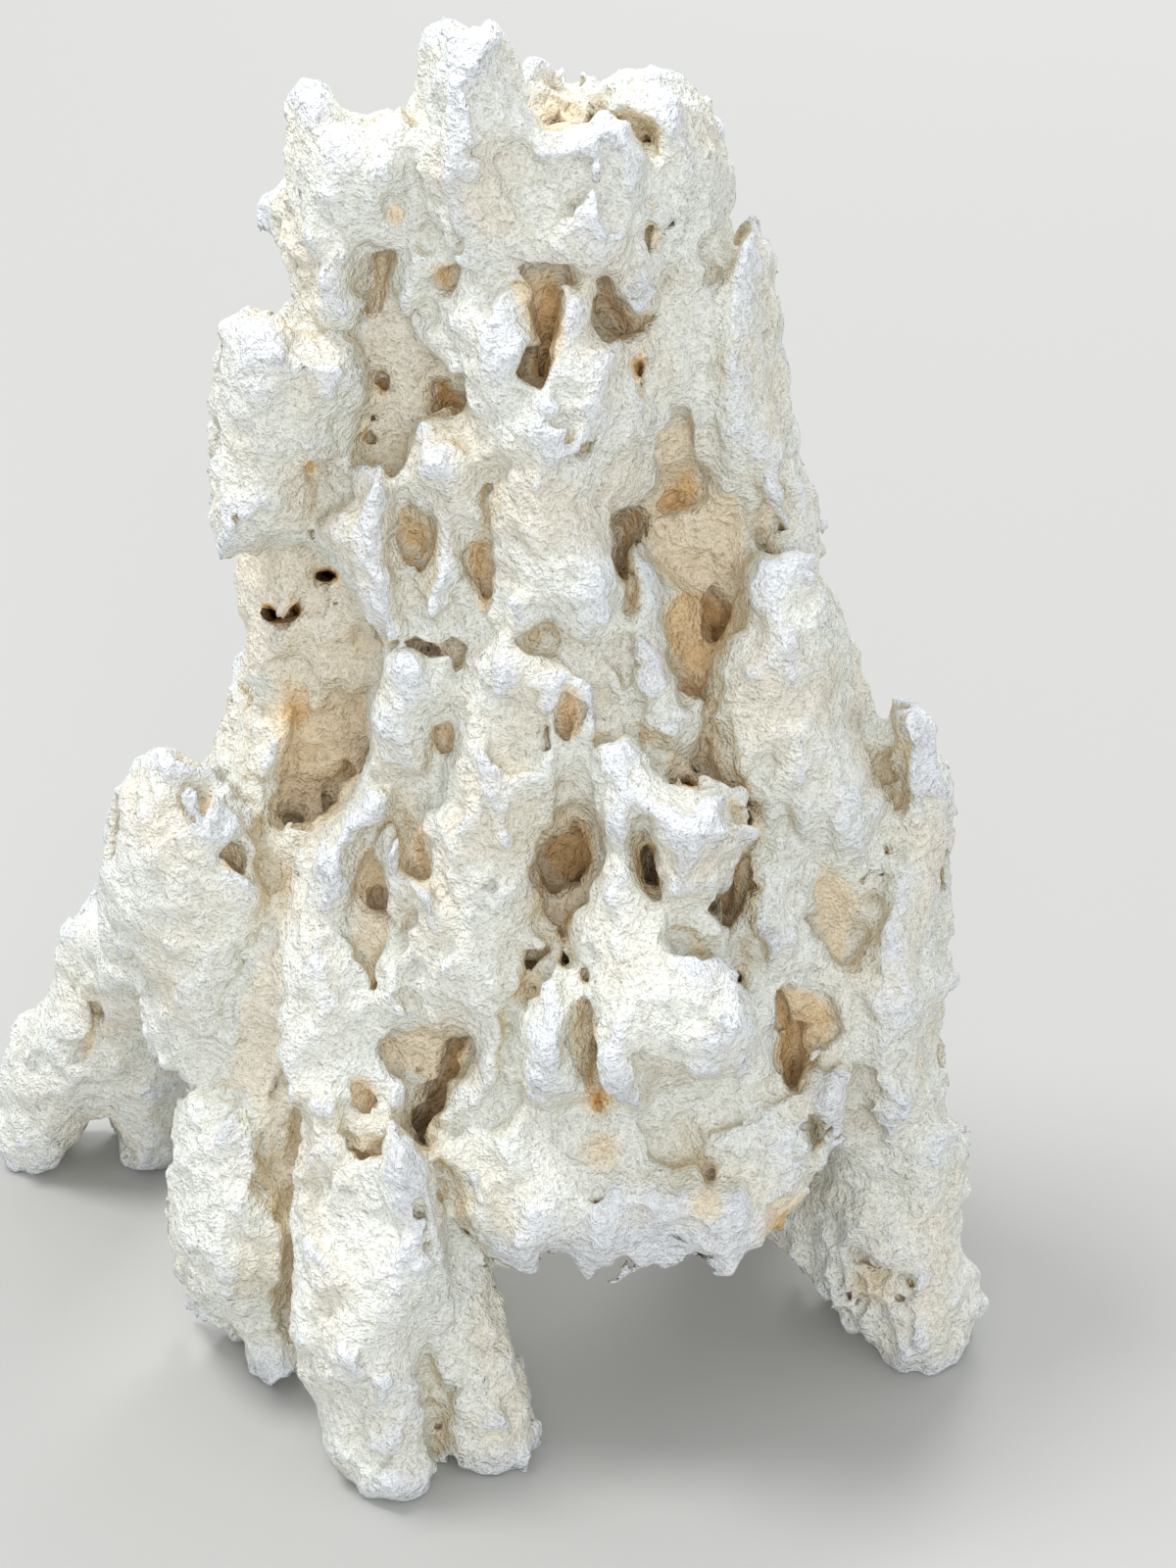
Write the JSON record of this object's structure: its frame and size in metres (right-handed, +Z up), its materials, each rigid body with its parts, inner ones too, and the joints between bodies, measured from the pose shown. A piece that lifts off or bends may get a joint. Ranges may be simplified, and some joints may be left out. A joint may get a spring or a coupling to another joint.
{
  "type": "dry reef rock",
  "caption": "Bleached white dry reef rock of fused upright coral columns, with furrows, pits, tunnels, an arch under its front lip and worn flat feet.",
  "frame": {"origin": "middle of the base's outline, on the ground that the worn feet stand on", "axes": "+Z up along the coral columns, -Y towards the front with the arch under its lip, +X to the right seen from the front"},
  "size_m": [0.2274, 0.1464, 0.3077],
  "materials": {
    "reef_limestone": "dry, chalky, rough bleached coral limestone, cream and tan in its hollows"
  },
  "bodies": {
    "root": {"reef_rock": "reef_limestone"}
  },
  "joints": []
}
